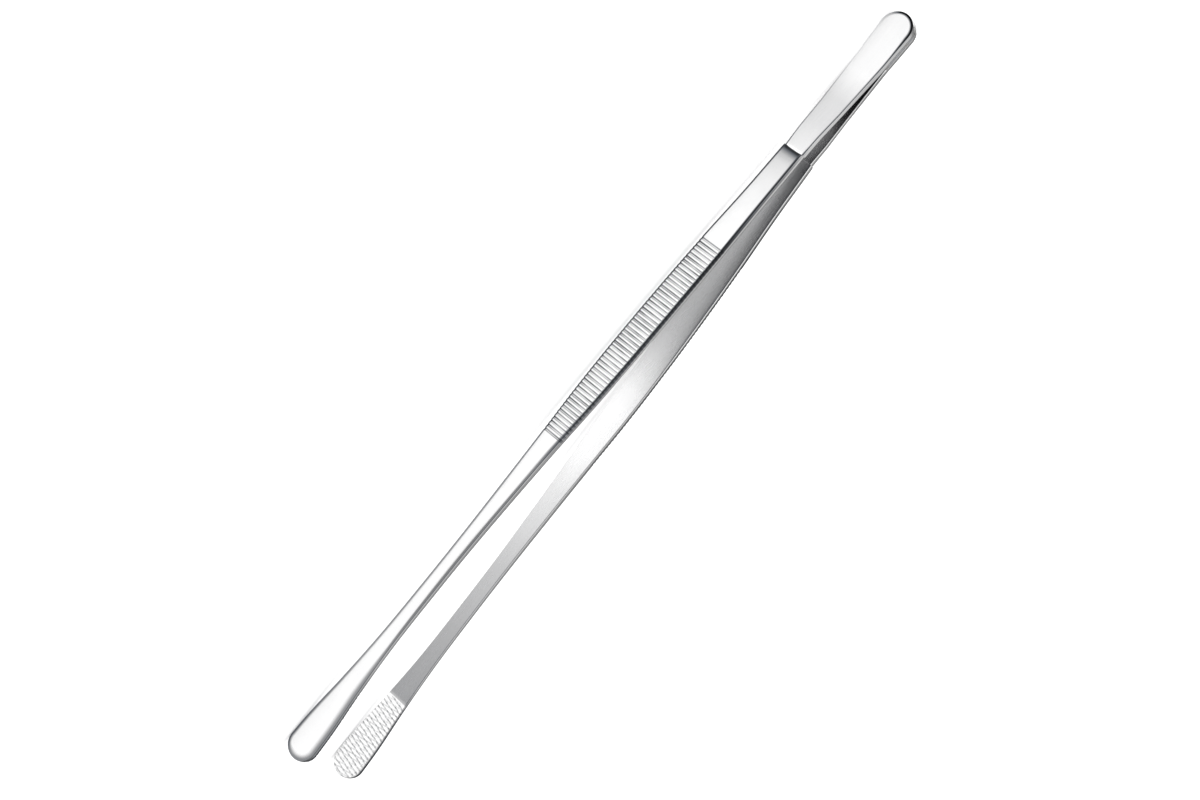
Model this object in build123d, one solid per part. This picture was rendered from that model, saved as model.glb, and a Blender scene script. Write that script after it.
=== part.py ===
from build123d import *
import math
import os

os.makedirs("parts", exist_ok=True)

# Print tongs: two sprung stainless steel arms welded back to back at the head.
# Frame: +X runs from the head to the tips, +Z is up across the width of the arms, the front arm
# lies on the -Y side. The tongs rest on their edges, and the origin is the middle of their foot.

# ---- driving dimensions, mm ----
LENGTH = 300.0
HEAD_WIDTH = 12.0
SHOULDER_WIDTH = 7.9
WELD_LENGTH = 18.0
HINGE_AT = 38.0
SHOULDER_AT = 55.5
HEAD_THICKNESS = 2.3
HINGE_THICKNESS = 1.7
LEAF_END_THICKNESS = 2.2
HANDLE_THICKNESS = 2.45
SHOULDER_GAP = 3.15
EDGE_BEVEL = 0.3
EDGE_ROUND = 0.45
WELD_DEPTH = 0.6

GRIP_START = 94.8
GRIP_GROOVES = 52
GRIP_PITCH = 1.506
GRIP_DEPTH = 0.28
GRIP_CUTTER_RADIUS = 0.55
GRIP_SLOPE_STEP = 0.5

PAD_START = 269.8
PAD_FIRST_GROOVE = 0.5
PAD_PITCH = 1.45
PAD_DEPTH = 0.32
PAD_GROOVE_WIDTH = 0.9
PAD_CROSSING_ANGLE = 11.0
PAD_CUTTER_REACH = 9.0
TIP_END_WIDTH = 12.0
TIP_ROUND_LENGTH = 5.3

# Sections of the arm from the shoulder to the tip:
# distance from the head end, width, half of the gap between the arms, thickness, crown height.
SECTIONS = [
    (SHOULDER_AT, SHOULDER_WIDTH, SHOULDER_GAP, HANDLE_THICKNESS, 0.12),
    (75.0, 8.4, 4.5, 2.5, 0.18),
    (95.0, 9.5, 6.15, 2.55, 0.22),
    (115.0, 10.0, 7.7, 2.55, 0.28),
    (135.0, 10.05, 8.95, 2.55, 0.32),
    (155.0, 9.35, 9.95, 2.65, 0.38),
    (175.0, 7.6, 10.85, 2.65, 0.42),
    (195.0, 6.3, 11.6, 2.6, 0.45),
    (215.0, 5.5, 12.35, 2.4, 0.45),
    (235.0, 5.5, 12.95, 2.15, 0.42),
    (255.0, 6.25, 13.5, 1.9, 0.38),
    (272.0, 8.4, 13.75, 1.8, 0.34),
    (286.0, 10.95, 13.8, 1.85, 0.3),
    (LENGTH, TIP_END_WIDTH, 13.85, 1.9, 0.3),
]

# ---- helpers for cutting and for choosing edges, mm ----
SLAB_DEPTH = 40.0
OVERCUT = 0.02
TOUCHING = 0.01
LONG_EDGE = 15.0
SHORT_EDGE = 5.0

MID = HEAD_WIDTH / 2
HEAD_RADIUS = HEAD_WIDTH / 2


def along(distance):
    """X of a point this far from the head end."""
    return distance - LENGTH / 2


def section_value(distance, column):
    """A section dimension between the listed sections, on a smooth curve through them."""
    last = len(SECTIONS) - 1
    i = 0
    while i < last - 1 and SECTIONS[i + 1][0] < distance:
        i += 1
    x0, x1 = SECTIONS[i][0], SECTIONS[i + 1][0]
    v0, v1 = SECTIONS[i][column], SECTIONS[i + 1][column]
    before, after = SECTIONS[max(i - 1, 0)], SECTIONS[min(i + 2, last)]
    slope0 = (v1 - before[column]) / (x1 - before[0])
    slope1 = (after[column] - v0) / (after[0] - x0)
    t = (distance - x0) / (x1 - x0)
    h = x1 - x0
    return (
        (2 * t**3 - 3 * t**2 + 1) * v0
        + (t**3 - 2 * t**2 + t) * h * slope0
        + (3 * t**2 - 2 * t**3) * v1
        + (t**3 - t**2) * h * slope1
    )


def head_half_width(distance):
    """Half width of the tapering head plate behind its round end."""
    x, z = tangent_point()
    share = (distance - x) / (SHOULDER_AT - x)
    return z + share * (SHOULDER_WIDTH / 2 - z)


def tangent_point():
    """Where the straight edge of the head plate meets its round end."""
    reach = SHOULDER_AT - HEAD_RADIUS
    far = math.hypot(reach, SHOULDER_WIDTH / 2)
    angle = math.atan2(SHOULDER_WIDTH / 2, reach) + math.acos(HEAD_RADIUS / far)
    return HEAD_RADIUS + HEAD_RADIUS * math.cos(angle), HEAD_RADIUS * math.sin(angle)


def head_outline(end):
    """Outline of the head plate seen from the front: round end, straight tapering edges."""
    x, z = tangent_point()
    half = head_half_width(end)
    upper = Line((along(end), 0, MID + half), (along(x), 0, MID + z))
    round_end = ThreePointArc(
        (along(x), 0, MID + z), (along(0), 0, MID), (along(x), 0, MID - z)
    )
    lower = Line((along(x), 0, MID - z), (along(end), 0, MID - half))
    return upper, round_end, lower


def head_planform(end):
    """The head plate's outline as a thick slab, to cut plates out of."""
    upper, round_end, lower = head_outline(end)
    back = Line(lower @ 1, upper @ 0)
    face = make_face(Wire([upper, round_end, lower, back]))
    return extrude(face, amount=SLAB_DEPTH, dir=(0, 1, 0), both=True)


def hinge_gap():
    """Half of the gap between the arms at the split."""
    return SHOULDER_GAP * (HINGE_AT - WELD_LENGTH) / (SHOULDER_AT - WELD_LENGTH)


def head_outer(distance):
    """How far the outer face of the head plate lies from the middle plane."""
    if distance <= WELD_LENGTH:
        return HEAD_THICKNESS
    share = (distance - WELD_LENGTH) / (HINGE_AT - WELD_LENGTH)
    return HEAD_THICKNESS + share * (hinge_gap() + HINGE_THICKNESS - HEAD_THICKNESS)


def leaf_profile(start, end):
    """Front arm between two distances in the head, seen from above and extruded upward."""
    inner = [(0, 0), (WELD_LENGTH, 0), (HINGE_AT, hinge_gap()), (SHOULDER_AT, SHOULDER_GAP)]
    thick = [HEAD_THICKNESS, HEAD_THICKNESS, HINGE_THICKNESS, LEAF_END_THICKNESS]
    kept = [k for k in range(4) if start <= inner[k][0] <= end]
    near = [(along(inner[k][0]), -inner[k][1]) for k in kept]
    far = [(along(inner[k][0]), -inner[k][1] - thick[k]) for k in kept]
    face = make_face(Polyline(near + far[::-1], close=True))
    return extrude(face, amount=HEAD_WIDTH)


def is_head_rim(edge):
    """True for the edges around the head plate's outer face, but not across it."""
    points = [edge @ 0, edge @ 0.5, edge @ 1]
    is_outside = all(p.Y < TOUCHING - head_outer(p.X + LENGTH / 2) for p in points)
    crosses = edge.geom_type == GeomType.LINE and abs(points[1].Z - MID) < TOUCHING
    return is_outside and not crosses


def head_blank():
    """Front head plate before the weld groove is taken out of it."""
    plate = leaf_profile(0, HINGE_AT) & head_planform(HINGE_AT)
    plate = plate.solids()[0]
    return chamfer([e for e in plate.edges() if is_head_rim(e)], EDGE_BEVEL)


def weld_groove():
    """The V grooves along the meeting edges of the two head plates, as one swept solid."""
    upper, round_end, lower = head_outline(WELD_LENGTH)
    path = Wire([upper, round_end, lower])
    start = path @ 0
    diamond = Polyline(
        (start.X, WELD_DEPTH, start.Z),
        (start.X, 0, start.Z + WELD_DEPTH),
        (start.X, -WELD_DEPTH, start.Z),
        (start.X, 0, start.Z - WELD_DEPTH),
        close=True,
    )
    return sweep(make_face(diamond), path=path)


def handle_section(distance, width, half_gap, thickness, crown):
    """One section of the arm: flat inner face, square sides, crowned outer face."""
    x = along(distance)
    inner, side, top = -half_gap, -half_gap - thickness + crown, -half_gap - thickness
    low, high = MID - width / 2, MID + width / 2
    edges = [
        Line((x, inner, low), (x, inner, high)),
        Line((x, inner, high), (x, side, high)),
        ThreePointArc((x, side, high), (x, top, MID), (x, side, low)),
        Line((x, side, low), (x, inner, low)),
    ]
    return make_face(Wire(edges))


def tip_planform():
    """Outline slab with the rounded end of the tip."""
    centre = along(LENGTH - TIP_ROUND_LENGTH)
    ellipse = Plane.XZ * Pos(centre, MID) * Ellipse(TIP_ROUND_LENGTH, TIP_END_WIDTH / 2)
    bar = Plane.XZ * Pos(centre - LENGTH / 2, MID) * Rectangle(LENGTH, HEAD_WIDTH)
    return extrude(ellipse + bar, amount=SLAB_DEPTH, both=True)


def handle_blank():
    """Front arm from the shoulder to the tip, without its grooves."""
    bar = loft([handle_section(*section) for section in SECTIONS])
    return (bar & tip_planform()).solids()[0]


def grip_cutters():
    """Ring cutters that follow the crown of the grip, one for each groove."""
    cutters = []
    for i in range(GRIP_GROOVES):
        distance = GRIP_START + i * GRIP_PITCH
        width = section_value(distance, 1)
        crown = section_value(distance, 4)
        outer = section_value(distance, 2) + section_value(distance, 3)
        next_to_it = distance + GRIP_SLOPE_STEP
        ahead = section_value(next_to_it, 2) + section_value(next_to_it, 3)
        radius = (width**2 / 4 + crown**2) / (2 * crown)
        ring = radius - GRIP_DEPTH + GRIP_CUTTER_RADIUS
        slope = math.degrees(math.atan2(ahead - outer, GRIP_SLOPE_STEP))
        cutter = Torus(ring, GRIP_CUTTER_RADIUS)
        cutter = Pos(along(distance), radius - outer, MID) * Rot(0, 0, -slope) * Rot(0, 90, 0) * cutter
        cutters.append(cutter)
    return cutters


def pad_cutters():
    """Two crossing families of V cutters for the teeth on the tip's inner face."""
    face_y = -SECTIONS[-1][2]
    vee = make_face(
        Polyline(
            (-PAD_GROOVE_WIDTH / 2, OVERCUT),
            (PAD_GROOVE_WIDTH / 2, OVERCUT),
            (0, -PAD_DEPTH),
            close=True,
        )
    )
    cutters = []
    rows = int((LENGTH - PAD_START) / PAD_PITCH) + 2
    for side in (-1, 1):
        for i in range(rows):
            x = along(PAD_START + PAD_FIRST_GROOVE + i * PAD_PITCH)
            prism = extrude(vee, amount=PAD_CUTTER_REACH, both=True)
            cutters.append(Pos(x, face_y, MID) * Rot(0, side * PAD_CROSSING_ANGLE, 0) * prism)
    return cutters


def front_head_plate():
    plate = head_blank() - weld_groove()
    return plate.solids()[0]


def head_weld():
    """Weld metal that fills the V grooves and is ground flush with the plates."""
    front = head_blank()
    pair = front + mirror(front, about=Plane.XZ)
    return pair & weld_groove()


def leaf():
    """Lower part of the sprung leaf, between the split at the hinge and the shoulder."""
    strip = leaf_profile(HINGE_AT, SHOULDER_AT) & head_planform(SHOULDER_AT)
    strip = strip.solids()[0]
    outer = [e for e in strip.edges() if is_outer_long_edge(e, -head_outer(HINGE_AT))]
    return chamfer(outer, EDGE_BEVEL)


def is_outer_long_edge(edge, outer_y):
    """True for the long edges of the arm's outer face."""
    middle = edge @ 0.5
    runs_along = abs((edge @ 0).X - (edge @ 1).X) > LONG_EDGE
    return runs_along and middle.Y < outer_y + EDGE_BEVEL


def is_outer_rim(edge):
    """True for the handle's outer edges: shoulder, both long sides and the round tip."""
    middle = edge @ 0.5
    distance = min(max(middle.X + LENGTH / 2, SHOULDER_AT), LENGTH - TOUCHING)
    is_outside = middle.Y < -section_value(distance, 2) - EDGE_ROUND
    runs_along = edge.length > LONG_EDGE
    at_shoulder = abs(middle.X - along(SHOULDER_AT)) < TOUCHING
    crosses = abs((edge @ 0).Z - (edge @ 1).Z) > SHORT_EDGE
    at_tip = middle.X > along(LENGTH) - 1
    return is_outside and (runs_along or at_tip or (at_shoulder and crosses))


def front_arm():
    """Sprung leaf and handle of the front arm, with grip ribs outside and teeth inside."""
    handle = handle_blank()
    handle = fillet([e for e in handle.edges() if is_outer_rim(e)], EDGE_ROUND)
    arm = (handle + leaf()).solids()[0]
    arm = (arm - grip_cutters()).solids()[0]
    return (arm - pad_cutters()).solids()[0]


def rear(shape):
    """The same piece on the other side of the tongs."""
    return mirror(shape, about=Plane.XZ)


head_plate = front_head_plate()
arm = front_arm()
export_step(head_plate, "parts/front_head_plate.step")
export_step(rear(head_plate), "parts/rear_head_plate.step")
export_step(head_weld(), "parts/head_weld.step")
export_step(arm, "parts/front_arm.step")
export_step(rear(arm), "parts/rear_arm.step")
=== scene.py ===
import math

import bpy
import numpy as np
from mathutils import Euler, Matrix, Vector


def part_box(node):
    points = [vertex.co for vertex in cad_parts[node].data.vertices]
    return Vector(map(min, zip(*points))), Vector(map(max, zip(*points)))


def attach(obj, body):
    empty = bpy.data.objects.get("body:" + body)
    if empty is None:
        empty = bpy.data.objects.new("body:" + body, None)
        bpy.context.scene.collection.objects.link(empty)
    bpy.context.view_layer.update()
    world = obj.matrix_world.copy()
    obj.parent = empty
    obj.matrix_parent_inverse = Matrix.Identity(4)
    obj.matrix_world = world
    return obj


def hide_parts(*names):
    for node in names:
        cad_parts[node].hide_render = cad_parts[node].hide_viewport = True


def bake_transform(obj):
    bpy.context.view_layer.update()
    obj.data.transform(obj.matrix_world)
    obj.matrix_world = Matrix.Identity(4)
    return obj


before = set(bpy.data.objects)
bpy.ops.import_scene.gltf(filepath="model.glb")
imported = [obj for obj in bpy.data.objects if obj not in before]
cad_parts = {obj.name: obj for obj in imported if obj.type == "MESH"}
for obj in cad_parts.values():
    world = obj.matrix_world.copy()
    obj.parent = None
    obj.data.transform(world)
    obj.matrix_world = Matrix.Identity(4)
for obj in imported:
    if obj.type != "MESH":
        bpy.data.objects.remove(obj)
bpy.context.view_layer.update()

# Print tongs: one continuous bent steel mesh for each arm, and the weld bead that joins them.
# Distances along an arm are in millimetres from the head end; the frame itself is in metres.

MM = 0.001
head_low, head_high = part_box("front_head_plate")
arm_low, arm_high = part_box("front_arm")
weld_low, weld_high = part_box("head_weld")
HEAD_END_X = head_low.x
MID_Z = (head_low.z + head_high.z) / 2
LENGTH = (arm_high.x - head_low.x) / MM
HINGE_AT = (arm_low.x - head_low.x) / MM
WELD_LENGTH = (weld_high.x - weld_low.x) / MM
WELD_DEPTH = (weld_high.y - weld_low.y) / 2 / MM
HEAD_RADIUS = (head_high.z - head_low.z) / 2 / MM

# ---- head, leaf and shoulder ----

# Crown of the outer face, rounding of its edge and lean of the side, up to the shoulder.
HEAD_CROWN = 0.04
HEAD_EDGE = 0.28
HEAD_LEAN = 0.10
SLIT_SOFTNESS = 0.5
LARGEST_EXPONENT = 60
SHOULDER_AT = 55.5
SHOULDER_GAP = 3.15
SHOULDER_HALF_WIDTH = 3.95
SHOULDER_RUN = 1.5
SHOULDER_BOW = 0.28
SHOULDER_BOW_PLACE = SHOULDER_AT + 0.5
SHOULDER_BOW_REACH = 3
LEAF_END_THICKNESS = 2.2
LEAF_THICKNESS = [(0, 2.3), (14, 2.3), (HINGE_AT, 1.7), (SHOULDER_AT, LEAF_END_THICKNESS)]
INNER_BEVEL = 0.14
WELD_RUNOUT = (WELD_LENGTH - 1, WELD_LENGTH + 2)

# ---- ribs of the grip ----

GRIP_START = 94.8
GRIP_PITCH = 1.506
GRIP_GROOVES = 52
GRIP_DEPTH = 0.27
draws = np.random.default_rng(7)
GROOVE_SHARE = draws.uniform(0.78, 1.0, GRIP_GROOVES)
GROOVE_WAVE = draws.uniform(0.2, 0.9, GRIP_GROOVES)
GROOVE_PHASE = draws.uniform(0, 6.2, GRIP_GROOVES)
FAR_LINE_SHARE = draws.uniform(0.35, 0.85, GRIP_GROOVES)

# The two painted shade lines on the walls of a groove: place and half width in half pitches.
NEAR_LINE = (-0.30, 0.28)
NEAR_LINE_STRENGTH = 1.1
FAR_LINE = (0.42, 0.22)
LINE_STRENGTH = 0.92
LINE_FADE_PER_MM = 0.03
LINE_UNEVENNESS = 0.16

# How much of a groove is left on the side of the arm, just past the rounded edge.
GROOVE_RUNOUT = (0.7, 0.35, 0.1)

# ---- teeth inside the tip ----

TIP_ROUND = 5.3
PAD_START = 269.8
PAD_FIRST_GROOVE = 0.5
PAD_EDGE = (PAD_START - 0.1, PAD_START + 0.15)
PAD_PITCH = 1.45
PAD_DEPTH = 0.3
PAD_GROOVE_WIDTH = 0.9
PAD_ANGLE = math.radians(11)
PAD_FAMILIES = ((-1, 0.7), (1, 1.0))
PAD_WAVER = 0.06
PAD_WAVER_ACROSS = 1.3
PAD_WAVER_ALONG = 0.9
PAD_WEAR = 0.24
PAD_WEAR_WAVES = ((2.9, 1.7), (1.9, -3.7))
# Painted shade in the teeth grooves, and how sharply it follows their depth.
TEETH_PAINTED_SHADE = 0.95
TEETH_SHARPNESS = 1.5

# ---- sections of the handle ----

# Distance, width, half gap, thickness, crown, edge rounding, lean of the side.
SECTIONS = np.array([
    (55.5, 7.9, 3.15, 2.45, 0.10, 0.38, 0.10),
    (75, 8.4, 4.5, 2.5, 0.16, 0.40, 0.12),
    (95, 9.5, 6.15, 2.55, 0.2, 0.42, 0.12),
    (115, 10.0, 7.7, 2.55, 0.25, 0.43, 0.12),
    (135, 10.05, 8.95, 2.55, 0.3, 0.45, 0.12),
    (155, 9.35, 9.95, 2.65, 0.36, 0.48, 0.10),
    (175, 7.6, 10.85, 2.65, 0.40, 0.50, 0.05),
    (195, 6.3, 11.6, 2.6, 0.42, 0.50, 0.0),
    (215, 5.5, 12.35, 2.4, 0.42, 0.50, 0.0),
    (235, 5.5, 12.95, 2.15, 0.40, 0.50, 0.0),
    (255, 6.25, 13.5, 1.9, 0.36, 0.50, 0.0),
    (272, 8.4, 13.75, 1.8, 0.32, 0.52, 0.0),
    (286, 10.95, 13.8, 1.85, 0.28, 0.55, 0.0),
    (300, 12.0, 13.85, 1.9, 0.28, 0.55, 0.0),
])
WIDTH, GAP, THICKNESS, CROWN, EDGE, LEAN = range(1, 7)

# ---- painted reflection and shade ----

# How bright the steel is painted along the arm, from 0, black, to 1, white: distance and tone.
# These tones are painted reflection and shade.
# Outer face: painted reflection, with grey zones on the head plate, a painted highlight at the
# leaf's end and a painted shadow at the foot of the shoulder's step.
OUTER_PAINTED_LIGHT = [
    (0, 0.74), (8, 0.76), (24, 0.77), (35, 0.59), (44, 0.60), (54.0, 0.70), (54.8, 0.76),
    (55.1, 0.95), (55.5, 0.95), (55.55, 0.02), (56.4, 0.03), (57.1, 0.14), (58.5, 0.42),
    (61, 0.60), (66, 0.67), (74, 0.74), (84, 0.78), (92, 0.81), (150, 0.83), (165, 0.82),
    (230, 0.79), (300, 0.79),
]
# Inner face: painted reflection, dark in the slit by the head, brightest round the middle of the
# arm and darker again towards the teeth, which are bright.
INNER_PAINTED_REFLECTION = [
    (0, 0.15), (25, 0.20), (43, 0.49), (50, 0.46), (58, 0.31), (67, 0.35), (82, 0.37),
    (100, 0.38), (114, 0.40), (122, 0.445), (130, 0.53), (138, 0.65), (146, 0.79), (154, 0.86),
    (170, 0.84), (178, 0.76), (186, 0.68), (200, 0.59), (216, 0.475), (232, 0.41),
    (250, 0.345), (269.3, 0.305), (269.7, 0.94), (300, 0.90),
]
# Side of the arm: painted reflection, light along the head and grip, grey on the shaft and dark at
# the tip.
SIDE_PAINTED_REFLECTION = [
    (0, 0.78), (25, 0.80), (50, 0.95), (125, 0.95), (150, 0.68), (165, 0.58), (200, 0.64),
    (262, 0.62), (276, 0.20), (300, 0.05),
]

# The dark rim round the outer face is painted reflection: a dark line along the rounded edges,
# lighter along the lower edge by the head. Its values along the upper edge and along the lower
# one:
# its tone, the width that is fully dark, and the width over which it fades into the face, in
# millimetres.
RIM_PAINTED_REFLECTION = [
    (0, 0.0), (6, 0.01), (14, 0.08), (30, 0.20), (52, 0.14), (57, 0.05), (95, 0.03),
    (150, 0.05), (165, 0.08), (185, 0.22), (262, 0.25), (290, 0.22), (300, 0.20),
]
LOW_RIM_PAINTED_REFLECTION = [
    (0, 0.30), (8, 0.66), (22, 0.62), (34, 0.30), (52, 0.14), (57, 0.05), (95, 0.05),
    (165, 0.10), (185, 0.22), (262, 0.25), (290, 0.12), (300, 0.10),
]
RIM_WIDTH = [
    (0, 0.52), (7, 0.45), (14, 0.1), (52, 0.05), (57, 0.2), (95, 0.18), (170, 0.1), (300, 0.15),
]
RIM_SOFTNESS = [
    (0, 0.3), (160, 0.3), (176, 0.9), (200, 0.5), (255, 0.6), (272, 1.8), (300, 2.0),
]
LOW_RIM_SOFTNESS = [(0, 0.3), (165, 0.3), (195, 0.8), (262, 0.9), (300, 1.2)]

# The upper edge's painted values give way to the lower one's between these shares of the half
# width.
LOW_EDGE = (-0.3, -0.95)

# How far down the side the rim's painted dark line reaches, as a share of the side, and how softly
# it ends.
SIDE_SHADE = [
    (0, 0.05), (52, 0.05), (60, 0.3), (92, 0.5), (140, 0.45), (165, 0.3), (180, 0.1), (300, 0.2),
]
SIDE_SOFTNESS = 0.3

# Painted shade at the side's foot, the share of its tone kept there, and painted shade where the
# teeth cut into the side, the share lost there.
FOOT_SHADE_SHARE = 0.75
NOTCH_PAINTED_SHADE = 0.6

# Painted shade on the inner face: it darkens to this share at its upper edge, over this many
# millimetres.
INNER_RIM_SHADE_SHARE = [
    (0, 0.6), (60, 0.6), (100, 0.5), (125, 0.5), (140, 0.35), (170, 0.4), (190, 0.5), (300, 0.7),
]
INNER_FADE = [(0, 1.1), (122, 1.1), (140, 0.4), (300, 0.35)]

# ---- where the points of half a section lie ----

# Shares of the half width over the outer face and the inner face, turn of the rounded edge
# between them, and shares of the way down the side.
OUTER_SHARES = np.concatenate([np.linspace(0, 0.9, 14), [0.94, 0.97, 1.0]])
EDGE_TURN = np.linspace(0, math.pi / 2, 7)[1:]
SIDE_SHARES = np.linspace(0, 1, 5)[1:-1]
INNER_SHARES = np.linspace(1, 0, 26)

OUTER = slice(0, len(OUTER_SHARES))
TURNED = slice(OUTER.stop, OUTER.stop + len(EDGE_TURN))
SIDE = slice(TURNED.stop, TURNED.stop + len(SIDE_SHARES) + 1)
INNER = slice(SIDE.stop, SIDE.stop + len(INNER_SHARES))
FOOT = SIDE.stop - 1
GROOVE_FADE = np.zeros(INNER.stop)
GROOVE_FADE[:TURNED.stop] = 1
GROOVE_FADE[TURNED.stop:TURNED.stop + len(GROOVE_RUNOUT)] = GROOVE_RUNOUT


# ---- curves along the arm ----

def smoothstep(low, high, value):
    t = np.clip((value - low) / (high - low), 0, 1)
    return t * t * (3 - 2 * t)


def along(x, stops):
    """A value between listed stops along the arm."""
    places, values = zip(*stops)
    return np.interp(x, places, values)


def smooth(distance, column):
    """A section dimension on a smooth curve through the listed sections."""
    x, v = SECTIONS[:, 0], SECTIONS[:, column]
    slope = np.gradient(v, x)
    d = np.clip(distance, x[0], x[-1])
    i = np.clip(np.searchsorted(x, d, side="right") - 1, 0, len(x) - 2)
    h = x[i + 1] - x[i]
    t = (d - x[i]) / h
    return (
        (2 * t**3 - 3 * t**2 + 1) * v[i]
        + (t**3 - 2 * t**2 + t) * h * slope[i]
        + (3 * t**2 - 2 * t**3) * v[i + 1]
        + (t**3 - t**2) * h * slope[i + 1]
    )


def by_section(d, column, head_value):
    """A section dimension past the shoulder, and one value for all of the head."""
    return np.where(d < SHOULDER_AT, head_value, smooth(d, column))


def half_width(d):
    taper = (SHOULDER_HALF_WIDTH - HEAD_RADIUS) / (SHOULDER_AT - HEAD_RADIUS)
    head = HEAD_RADIUS + (d - HEAD_RADIUS) * taper
    return np.where(d < SHOULDER_AT, np.minimum(head, HEAD_RADIUS), smooth(d, WIDTH) / 2)


def half_gap(d):
    """Inner face's distance from the middle plane: closed in the weld, then a narrow slit."""
    slope = SHOULDER_GAP / (SHOULDER_AT - WELD_LENGTH)
    past_weld = np.minimum((d - WELD_LENGTH) / SLIT_SOFTNESS, LARGEST_EXPONENT)
    leaf = slope * SLIT_SOFTNESS * np.log1p(np.exp(past_weld))
    return np.where(d < SHOULDER_AT, leaf, smooth(d, GAP))


def thickness(d):
    lift = np.clip((SHOULDER_AT + SHOULDER_RUN - d) / SHOULDER_RUN, 0, 1)
    step = smooth(d, THICKNESS) - LEAF_END_THICKNESS
    handle = LEAF_END_THICKNESS + step * np.sqrt(1 - lift**2)
    return np.where(d < SHOULDER_AT, along(d, LEAF_THICKNESS), handle)


# ---- ribs and teeth ----

def groove_place(d):
    """Which rib groove is nearest, and how far off its middle it is in half pitches."""
    i = np.clip(np.round((d - GRIP_START) / GRIP_PITCH), 0, GRIP_GROOVES - 1).astype(int)
    return i, (d - GRIP_START - i * GRIP_PITCH) / (GRIP_PITCH / 2)


def grip_groove(d):
    """Depth of the rib grooves at this distance; each is rolled a little deeper or shallower."""
    i, off = groove_place(d)
    round_bottom = np.where(np.abs(off) < 1, 0.5 + 0.5 * np.cos(np.pi * np.clip(off, -1, 1)), 0)
    return GRIP_DEPTH * GROOVE_SHARE[i] * round_bottom


def dark_line(off, line):
    place, half_width_of_line = line
    return np.exp(-((off - place) / half_width_of_line) ** 2)


def grip_painted_shade(d, across):
    """Painted shade lines down the two walls of each groove, uneven from groove to groove."""
    i, off = groove_place(d)
    waver = np.sin(across * GROOVE_WAVE[i] + GROOVE_PHASE[i])
    strength = LINE_STRENGTH - LINE_FADE_PER_MM * across + LINE_UNEVENNESS * waver
    near = GROOVE_SHARE[i] * strength * dark_line(off, NEAR_LINE)
    far = FAR_LINE_SHARE[i] * strength * dark_line(off, FAR_LINE)
    return np.clip(NEAR_LINE_STRENGTH * near + far, 0, 1)


def vee(distance_from_line):
    return np.clip(1 - np.abs(distance_from_line) / (PAD_GROOVE_WIDTH / 2), 0, 1)


def pad_groove(d, z):
    """Depth of the crossing teeth grooves in the tip's inner face, worn unevenly."""
    deepest = np.zeros_like(d)
    pitch = PAD_PITCH * math.cos(PAD_ANGLE)
    wear = 1.0
    for across, lengthwise in PAD_WEAR_WAVES:
        wear = wear * np.sin(across * z + lengthwise * d)
    worn = 1 - PAD_WEAR + PAD_WEAR * wear
    for side, share in PAD_FAMILIES:
        run = (d - PAD_START - PAD_FIRST_GROOVE) * math.cos(PAD_ANGLE)
        run = run - side * z * math.sin(PAD_ANGLE)
        run = run + PAD_WAVER * np.sin(z * PAD_WAVER_ACROSS + side * d * PAD_WAVER_ALONG)
        off = run - np.maximum(np.round(run / pitch), 0) * pitch
        deepest = np.maximum(deepest, share * worn * vee(off))
    return PAD_DEPTH * deepest * smoothstep(*PAD_EDGE, d)


# ---- sections of an arm ----

def section_outline(d, w):
    """Shares of the half width w and distances from the middle plane, round half a section.

    The third result is the share at which the outer face ends and the rounded edge begins."""
    gap = half_gap(d)
    crown = by_section(d, CROWN, HEAD_CROWN)
    edge = by_section(d, EDGE, HEAD_EDGE)
    lean = by_section(d, LEAN, HEAD_LEAN)
    bevel = INNER_BEVEL + (WELD_DEPTH - INNER_BEVEL) * (1 - smoothstep(*WELD_RUNOUT, d))
    top = gap + thickness(d)
    side_top, foot = top - crown - edge, gap + bevel

    flat_rim = 1 - (edge + lean) / w
    share_outer = OUTER_SHARES * flat_rim
    y_outer = top - crown * OUTER_SHARES**2
    share_edge = 1 - (lean + edge * (1 - np.sin(EDGE_TURN))) / w
    y_edge = top - crown - edge * (1 - np.cos(EDGE_TURN))
    share_side = 1 - lean * (1 - SIDE_SHARES) / w
    y_side = side_top * (1 - SIDE_SHARES) + foot * SIDE_SHARES
    share_inner = INNER_SHARES * (1 - bevel / w)
    y_inner = gap * np.ones_like(share_inner)

    share = [share_outer, share_edge, share_side, np.ones_like(w), share_inner]
    y = [y_outer, y_edge, y_side, foot, y_inner]
    return np.concatenate(share, axis=1), np.concatenate(y, axis=1), flat_rim


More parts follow.
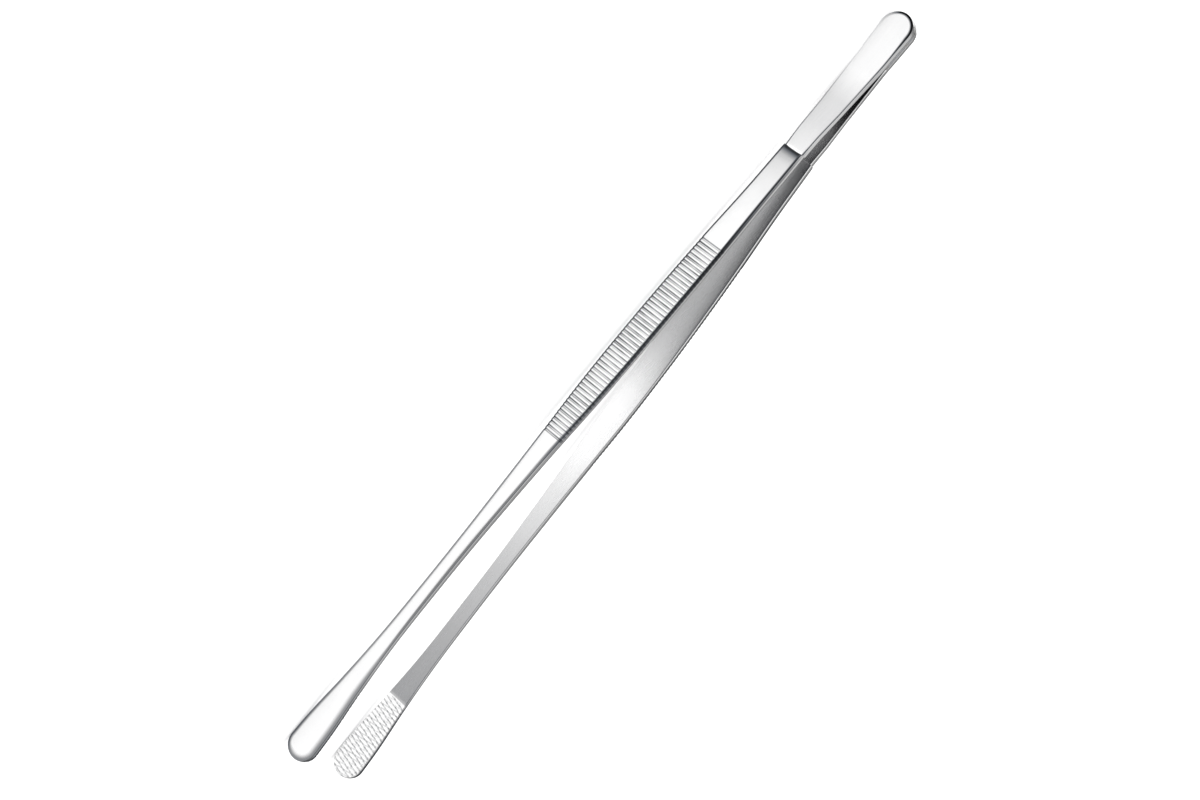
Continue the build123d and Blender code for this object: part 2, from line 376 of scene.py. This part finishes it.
def section_painted_light(d, x, z, w, up, rim_distance):
    """How bright the steel is painted round half a section: painted reflection and shade.

    up runs from +1 at the arm's upper edge to -1 at its lower one, and rim_distance is how far
    the points of the outer face lie inside its rim."""
    low = smoothstep(*LOW_EDGE, up)
    rim = along(x, RIM_PAINTED_REFLECTION) * (1 - low) + along(x, LOW_RIM_PAINTED_REFLECTION) * low
    softness = along(d, RIM_SOFTNESS) * (1 - low) + along(d, LOW_RIM_SOFTNESS) * low
    width, side_tone, shade = along(d, RIM_WIDTH), along(x, SIDE_PAINTED_REFLECTION), along(d, SIDE_SHADE)

    def from_rim(part, share):
        """The side's tone by this share, and the rim's tone for the rest."""
        return rim[:, part] * (1 - share) + side_tone[:, part] * share

    tone = along(x, OUTER_PAINTED_LIGHT)
    clear = smoothstep(width, width + softness, rim_distance)
    tone[:, OUTER] = tone[:, OUTER] * clear + rim[:, OUTER] * (1 - clear)
    turned = smoothstep(0.5, 1, EDGE_TURN / EDGE_TURN[-1]) * (1 - 2 * shade)
    tone[:, TURNED] = from_rim(TURNED, turned)
    down = np.append(SIDE_SHARES, 1)
    lit = smoothstep(shade - SIDE_SOFTNESS, shade + SIDE_SOFTNESS, down)
    notch = pad_groove(x, z)[:, SIDE] / PAD_DEPTH
    tone[:, SIDE] = from_rim(SIDE, lit) * (1 - NOTCH_PAINTED_SHADE * notch)
    tone[:, FOOT] *= FOOT_SHADE_SHARE

    open_face = smoothstep(0, along(d, INNER_FADE), (1 - INNER_SHARES) * w)
    darkest = along(x[:, INNER], INNER_RIM_SHADE_SHARE) * (1 - low) + low
    tone[:, INNER] = along(x[:, INNER], INNER_PAINTED_REFLECTION) * (darkest + (1 - darkest) * open_face)
    return tone


def half_section(d, reach_x, reach_z, side):
    """Half a section from the middle of the outer face round the edge to the middle inside.

    d, reach_x and reach_z are arrays over the mesh rows: where the section starts from, and how
    far its rim lies from there along the arm and across it. side is +1 or -1 across the arm.
    The results are the points, and their marks: groove, the painted shade in the grooves, inside,
    and tone, the painted reflection and shade."""
    d, reach_x, reach_z = d[:, None], reach_x[:, None], reach_z[:, None]
    w = half_width(np.minimum(d, LENGTH - TIP_ROUND))
    share, y, flat_rim = section_outline(d, w)
    x = d + reach_x * share
    z = side * reach_z * share

    groove = grip_groove(x) * GROOVE_FADE
    teeth = np.zeros_like(y)
    teeth[:, FOOT:] = pad_groove(x[:, FOOT:], z[:, FOOT:])
    y = y - groove + teeth
    near_shoulder = np.exp(-(((d - SHOULDER_BOW_PLACE) / SHOULDER_BOW_REACH) ** 2))
    x = x + SHOULDER_BOW * (1 - share**2) * near_shoulder * GROOVE_FADE

    # Painted shade on the grip's groove walls and in the teeth grooves.
    mark = grip_painted_shade(x, z) * GROOVE_FADE * (groove > 0)
    mark = mark + TEETH_PAINTED_SHADE * (teeth / PAD_DEPTH) ** TEETH_SHARPNESS
    inside = np.zeros_like(y)
    inside[:, INNER] = 1
    tone = section_painted_light(d, x, z, w, side * reach_z / w, (flat_rim - share[:, OUTER]) * w)
    return np.stack([x, y, z], axis=2), np.stack([mark, inside, tone], axis=2)


COARSE_STEP = 1.0
SHOULDER_STEP = 0.25
TEETH_STEP = 0.11
ROWS_IN_A_GROOVE = 16
SHOULDER_ROWS_FROM = 54.0
HANDLE_ROWS_FROM = 57.5
RIB_ROWS_FROM = 93.5
RIB_ROWS_TO = 173.2
SHAFT_ROWS_FROM = 173.5


def rows():
    """Distances of the mesh rows along the straight part of the arm, closest where detail is."""
    turn = np.linspace(0, math.pi / 2, 12)
    parts = [
        np.arange(HEAD_RADIUS, SHOULDER_ROWS_FROM, COARSE_STEP),
        np.arange(SHOULDER_ROWS_FROM, SHOULDER_AT - 0.04, SHOULDER_STEP),
        SHOULDER_AT - np.array([0.03, 0.002]),
        SHOULDER_AT + SHOULDER_RUN * (1 - np.cos(turn)),
        np.arange(HANDLE_ROWS_FROM, RIB_ROWS_FROM, COARSE_STEP),
        np.arange(RIB_ROWS_FROM, RIB_ROWS_TO, GRIP_PITCH / ROWS_IN_A_GROOVE),
        np.arange(SHAFT_ROWS_FROM, PAD_START - 0.6, COARSE_STEP),
        np.arange(PAD_START - 0.4, LENGTH - TIP_ROUND, TEETH_STEP),
        [LENGTH - TIP_ROUND],
    ]
    return np.unique(np.round(np.concatenate(parts), 4))


def loop_of_sections():
    """Half sections round the whole arm: up one side, round the tip, back, round the head."""
    d = rows()
    w = half_width(d)
    none = np.zeros_like(d)
    turn = np.linspace(0, math.pi, 49)[1:-1]
    tip_d = np.full_like(turn, LENGTH - TIP_ROUND)
    head_d = np.full_like(turn, HEAD_RADIUS)
    tip_w = half_width(tip_d)
    head_w = half_width(head_d)
    parts = [
        half_section(d, none, w, 1),
        half_section(tip_d, TIP_ROUND * np.sin(turn), tip_w * np.cos(turn), 1),
        half_section(d[::-1], none, w[::-1], -1),
        half_section(head_d, -HEAD_RADIUS * np.sin(turn), -head_w * np.cos(turn), 1),
    ]
    return np.concatenate([p[0] for p in parts]), np.concatenate([p[1] for p in parts])


# ---- meshes ----

def add_piece(name, vertices, faces):
    mesh = bpy.data.meshes.new(name)
    mesh.from_pydata(vertices, [], faces)
    mesh.validate()
    mesh.shade_smooth()
    piece = bpy.data.objects.new(name, mesh)
    bpy.context.scene.collection.objects.link(piece)
    return piece


def mesh_from_loop(name, points, marks, flip):
    """A closed mesh from half sections that follow one another round the piece."""
    count, across = points.shape[:2]
    flat = points.reshape(-1, 3)
    weld_distance = 1e-5
    keys = np.round(flat / weld_distance).astype(np.int64)
    _, first, index = np.unique(keys, axis=0, return_index=True, return_inverse=True)
    index = index.reshape(-1)
    s = np.arange(count)[:, None]
    k = np.arange(across - 1)[None, :]
    after = (s + 1) % count
    corners = [s * across + k, after * across + k, after * across + k + 1, s * across + k + 1]
    quads = index[np.stack(corners, axis=2).reshape(-1, 4)]
    faces = []
    for quad in quads.tolist():
        face = [c for i, c in enumerate(quad) if c != quad[i - 1]]
        if len(set(face)) >= 3:
            faces.append(face[::-1] if flip else face)
    piece = add_piece(name, flat[first].tolist(), faces)
    marks = marks.reshape(-1, marks.shape[-1])[first]
    for i, label in enumerate(("groove", "inside", "tone")):
        attribute = piece.data.attributes.new(label, "FLOAT", "POINT")
        attribute.data.foreach_set("value", np.ascontiguousarray(marks[:, i], dtype=np.float32))
    return piece


def to_frame(points, side):
    """Arm coordinates in millimetres to the frame in metres. side is -1 front, +1 rear."""
    placed = points * MM
    placed[..., 0] += HEAD_END_X
    placed[..., 1] *= side
    placed[..., 2] += MID_Z
    return placed


def make_arm(name, side):
    points, marks = loop_of_sections()
    return mesh_from_loop(name, to_frame(points, side), marks, flip=side > 0)


WELD_STEP = 0.25
WELD_RIPPLE = 0.018
WELD_RIPPLE_PITCH = 0.9
WELD_FILL = 0.995


def weld_path():
    """The head's rim along the weld, as distance, z, and the outward direction in both."""
    ends = np.arange(WELD_LENGTH, HEAD_RADIUS, -WELD_STEP)
    widths = half_width(ends)
    w = half_width(np.array([HEAD_RADIUS]))[0]
    path = [(d, z, 0.0, 1.0) for d, z in zip(ends, widths)]
    path += [(HEAD_RADIUS - HEAD_RADIUS * math.sin(t), w * math.cos(t), -math.sin(t), math.cos(t))
             for t in np.linspace(0, math.pi, 97)[1:-1]]
    path += [(d, -z, 0.0, -1.0) for d, z in zip(ends[::-1], widths[::-1])]
    return np.array(path)


def make_weld(name):
    """The ground-down bead along the meeting edges of the two head plates."""
    path = weld_path()
    steps = np.hypot(np.diff(path[:, 0]), np.diff(path[:, 1]))
    run = np.concatenate([[0], np.cumsum(steps)])
    ripple = WELD_RIPPLE * (0.5 + 0.5 * np.cos(run / WELD_RIPPLE_PITCH * 2 * math.pi))
    heights = np.linspace(-1, 1, 9)
    sections = []
    for (d, z, out_x, out_z), low in zip(path, ripple):
        insets = low * (1 - heights * heights)
        ring = [(d - out_x * inset, h * WELD_DEPTH * WELD_FILL, z - out_z * inset)
                for h, inset in zip(heights, insets)]
        ring.append((d - out_x * WELD_DEPTH, 0.0, z - out_z * WELD_DEPTH))
        sections.append(ring)
    points = to_frame(np.array(sections), 1)
    count, around = points.shape[:2]
    faces = []
    for s in range(count - 1):
        for k in range(around):
            n = (k + 1) % around
            faces.append((s * around + k, s * around + n, (s + 1) * around + n,
                          (s + 1) * around + k))
    faces.append(tuple(range(around))[::-1])
    faces.append(tuple((count - 1) * around + k for k in range(around)))
    return add_piece(name, points.reshape(-1, 3).tolist(), faces)


# ---- materials ----

def node(tree, kind, **inputs):
    """A shader node with its sockets and properties set; sockets are named by their labels."""
    made = tree.nodes.new(kind)
    for key, value in inputs.items():
        if hasattr(made, key):
            setattr(made, key, value)
        else:
            made.inputs[key.replace("_", " ")].default_value = value
    return made


def math_node(tree, operation, *values):
    made = node(tree, "ShaderNodeMath", operation=operation)
    for socket, value in zip(made.inputs, values):
        if isinstance(value, (int, float)):
            socket.default_value = value
        else:
            tree.links.new(value, socket)
    return made.outputs[0]


def metal(name):
    """A bare metal material: the material itself, its node tree, shader and object coordinates."""
    material = bpy.data.materials.new(name)
    material.use_nodes = True
    tree = material.node_tree
    tree.nodes.clear()
    out = node(tree, "ShaderNodeOutputMaterial")
    shader = node(tree, "ShaderNodeBsdfPrincipled", Metallic=1.0)
    tree.links.new(shader.outputs[0], out.inputs[0])
    place = node(tree, "ShaderNodeTexCoord").outputs["Object"]
    return material, tree, shader, place


def noise(tree, place, scale, detail, roughness=0.5):
    made = node(tree, "ShaderNodeTexNoise", Scale=scale, Detail=detail, Roughness=roughness)
    tree.links.new(place, made.inputs["Vector"])
    return made.outputs["Fac"]


def colour_ramp(tree, value, first, last, between=()):
    """Colours between two ends, each given as (position, red, green, blue)."""
    made = node(tree, "ShaderNodeValToRGB")
    elements = made.color_ramp.elements
    for element, (position, *colour) in zip(elements, (first, last)):
        element.position = position
        element.color = (*colour, 1)
    for position, *colour in between:
        elements.new(position).color = (*colour, 1)
    tree.links.new(value, made.inputs["Fac"])
    return made.outputs["Color"]


def fine_bump(tree, shader, height, strength, distance):
    bump = node(tree, "ShaderNodeBump", Strength=strength, Distance=distance)
    tree.links.new(height, bump.inputs["Height"])
    tree.links.new(bump.outputs[0], shader.inputs["Normal"])


GRAIN_SCALE = (60, 2600, 2600)
SMEAR_SCALE = 85.0
GROOVE_PAINTED_SHADE = 1.0

# How strongly the grain and the smears vary the tone: the range, and the darkest value.
GRAIN_SHADE = (0.12, 0.94)
SMEAR_SHADE = (0.06, 0.97)

# The steel's roughness, and what is added to it by each of these.
STEEL_ROUGHNESS = 0.12
INSIDE_ROUGHNESS = 0.10
SMEAR_ROUGHNESS = 0.06
GRAIN_ROUGHNESS = 0.05
GROOVE_ROUGHNESS = 0.12
GRAIN_BUMP = (0.12, 0.02 * MM)


def steel(name):
    """Polished stainless steel: long fine grain, soft smears, rougher grooves and inner faces, and
    the painted reflection and shade carried by the mesh's marks.
    """
    material, tree, shader, place = metal(name)
    stretch = node(tree, "ShaderNodeMapping", Scale=GRAIN_SCALE)
    tree.links.new(place, stretch.inputs["Vector"])
    grain = noise(tree, stretch.outputs[0], 1.0, 3.0, 0.6)
    smear = noise(tree, place, SMEAR_SCALE, 4.0, 0.55)
    groove, inside, tone = (node(tree, "ShaderNodeAttribute", attribute_name=label).outputs["Fac"]
                            for label in ("groove", "inside", "tone"))

    # The groove mark darkens the steel as painted shade, and the tone mark brings in the painted
    # reflection and shade.
    groove_shade = math_node(tree, "SUBTRACT", 1.0, math_node(tree, "MULTIPLY", groove, GROOVE_PAINTED_SHADE))
    grained = math_node(tree, "MULTIPLY_ADD", grain, *GRAIN_SHADE)
    smeared = math_node(tree, "MULTIPLY_ADD", smear, *SMEAR_SHADE)
    level = math_node(tree, "MULTIPLY", tone, groove_shade)
    level = math_node(tree, "MULTIPLY", level, math_node(tree, "MULTIPLY", grained, smeared))
    # The level, with its painted reflection and shade, becomes the base colour, a little cooler in
    # the darker tones.
    tint = colour_ramp(tree, level, (0, 0, 0, 0), (1, 0.98, 0.98, 0.98),
                       between=((0.12, 0.111, 0.119, 0.132), (0.36, 0.356, 0.357, 0.362)))
    tree.links.new(tint, shader.inputs["Base Color"])

    rough = STEEL_ROUGHNESS
    for value, added in ((inside, INSIDE_ROUGHNESS), (smear, SMEAR_ROUGHNESS),
                         (grain, GRAIN_ROUGHNESS), (groove, GROOVE_ROUGHNESS)):
        rough = math_node(tree, "MULTIPLY_ADD", value, added, rough)
    tree.links.new(rough, shader.inputs["Roughness"])
    fine_bump(tree, shader, grain, *GRAIN_BUMP)
    return material


CLOUD_SCALE = 420.0
CLOUD_ROUGHNESS = (0.12, 0.24)
GRIT_SCALE = 6000.0
GRIT_BUMP = (0.15, 0.03 * MM)


def weld_steel(name):
    """Ground weld metal: a little duller, with faint straw and blue tints."""
    material, tree, shader, place = metal(name)
    cloud = noise(tree, place, CLOUD_SCALE, 3.0)
    tint = colour_ramp(tree, cloud, (0.35, 0.50, 0.49, 0.47), (0.65, 0.55, 0.57, 0.60))
    tree.links.new(tint, shader.inputs["Base Color"])
    rough = math_node(tree, "MULTIPLY_ADD", cloud, *CLOUD_ROUGHNESS)
    tree.links.new(rough, shader.inputs["Roughness"])
    fine_bump(tree, shader, noise(tree, place, GRIT_SCALE, 2.0), *GRIT_BUMP)
    return material


# ---- the three pieces ----

arm_material = steel("arm_steel")
weld_material = weld_steel("weld_steel")

front = make_arm("front_arm_steel", -1)
rear = make_arm("rear_arm_steel", 1)
weld = make_weld("head_weld_bead")
front.data.materials.append(arm_material)
rear.data.materials.append(arm_material)
weld.data.materials.append(weld_material)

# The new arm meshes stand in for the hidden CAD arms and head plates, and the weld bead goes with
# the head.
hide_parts("front_head_plate", "front_arm")
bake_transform(front)
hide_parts("rear_head_plate", "rear_arm")
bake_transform(rear)
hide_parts("head_weld")
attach(weld, "head")


# ---- floor, light and camera ----

FLOOR_REACH = 3.0
FLOOR_Z = -0.05 * MM
FLOOR_COLOUR = (0.93, 0.93, 0.93, 1)
FLOOR_GLOW = 0.50


def make_floor():
    mesh = bpy.data.meshes.new("floor")
    corners = [(x * FLOOR_REACH, y * FLOOR_REACH, FLOOR_Z)
               for x, y in ((-1, -1), (1, -1), (1, 1), (-1, 1))]
    mesh.from_pydata(corners, [], [(0, 1, 2, 3)])
    floor = bpy.data.objects.new("floor", mesh)
    bpy.context.scene.collection.objects.link(floor)
    material = bpy.data.materials.new("pale_floor")
    material.use_nodes = True
    shader = material.node_tree.nodes["Principled BSDF"]
    shader.inputs["Base Color"].default_value = FLOOR_COLOUR
    shader.inputs["Roughness"].default_value = 0.9
    shader.inputs["Specular IOR Level"].default_value = 0.1
    shader.inputs["Emission Color"].default_value = (1, 1, 1, 1)
    shader.inputs["Emission Strength"].default_value = FLOOR_GLOW
    mesh.materials.append(material)


def fade_node(tree, value, start, end):
    """0 at start, 1 at end, and smooth between them."""
    ease = node(tree, "ShaderNodeMapRange", interpolation_type="SMOOTHSTEP",
                From_Min=start, From_Max=end)
    tree.links.new(value, ease.inputs["Value"])
    return ease.outputs[0]


HORIZON_LEVEL = 0.33
OVERHEAD_LEVEL = 0.55
OVERHEAD_EDGE = (0.38, 0.66)
FRONT_LEVEL = 0.6
FRONT_EDGE = (0.1, -0.4)
FRONT_TOP_EDGE = (0.5, 0.3)


def make_world():
    """Soft studio surroundings: bright overhead and low in front, grey round the horizon."""
    world = bpy.data.worlds.new("studio")
    bpy.context.scene.world = world
    world.use_nodes = True
    tree = world.node_tree
    tree.nodes.clear()
    out = node(tree, "ShaderNodeOutputWorld")
    background = node(tree, "ShaderNodeBackground")
    tree.links.new(background.outputs[0], out.inputs[0])
    direction = node(tree, "ShaderNodeTexCoord").outputs["Generated"]
    split = node(tree, "ShaderNodeSeparateXYZ")
    tree.links.new(direction, split.inputs[0])

    overhead = fade_node(tree, split.outputs["Z"], *OVERHEAD_EDGE)
    front = math_node(tree, "MULTIPLY", fade_node(tree, split.outputs["Y"], *FRONT_EDGE),
                      fade_node(tree, split.outputs["Z"], *FRONT_TOP_EDGE))
    level = math_node(tree, "MULTIPLY_ADD", overhead, OVERHEAD_LEVEL, HORIZON_LEVEL)
    level = math_node(tree, "MULTIPLY_ADD", front, FRONT_LEVEL, level)
    tree.links.new(level, background.inputs["Strength"])


SOFTBOX_PLACE = (0.0, 0.15, 1.1)
SOFTBOX_SIZE = (1.4, 1.0)
SOFTBOX_POWER = 4.2


def area_light(name, place, target, size, power):
    data = bpy.data.lights.new(name, "AREA")
    data.shape = "RECTANGLE"
    data.size, data.size_y = size
    data.energy = power
    light = bpy.data.objects.new(name, data)
    light.location = place
    direction = Vector(target) - Vector(place)
    light.rotation_euler = direction.to_track_quat("-Z", "Y").to_euler()
    bpy.context.scene.collection.objects.link(light)


SENSOR_WIDTH = 36
IMAGE_WIDTH = 1200
FOCAL_PIXELS = 2550
CAMERA_PLACE = (-0.00705, -0.69286, 0.40702)
CAMERA_TURN = (-47.123, -42.400, 147.010)


def make_camera():
    data = bpy.data.cameras.new("camera")
    data.sensor_width = SENSOR_WIDTH
    data.lens = SENSOR_WIDTH * FOCAL_PIXELS / IMAGE_WIDTH
    data.clip_start = 0.01
    camera = bpy.data.objects.new("camera", data)
    camera.location = CAMERA_PLACE
    camera.rotation_euler = Euler([math.radians(angle) for angle in CAMERA_TURN])
    bpy.context.scene.collection.objects.link(camera)
    bpy.context.scene.camera = camera


make_floor()
make_world()
area_light("overhead_softbox", SOFTBOX_PLACE, (0, 0, 0), SOFTBOX_SIZE, SOFTBOX_POWER)
make_camera()

view = bpy.context.scene.view_settings
view.view_transform = "Standard"
view.look = "None"
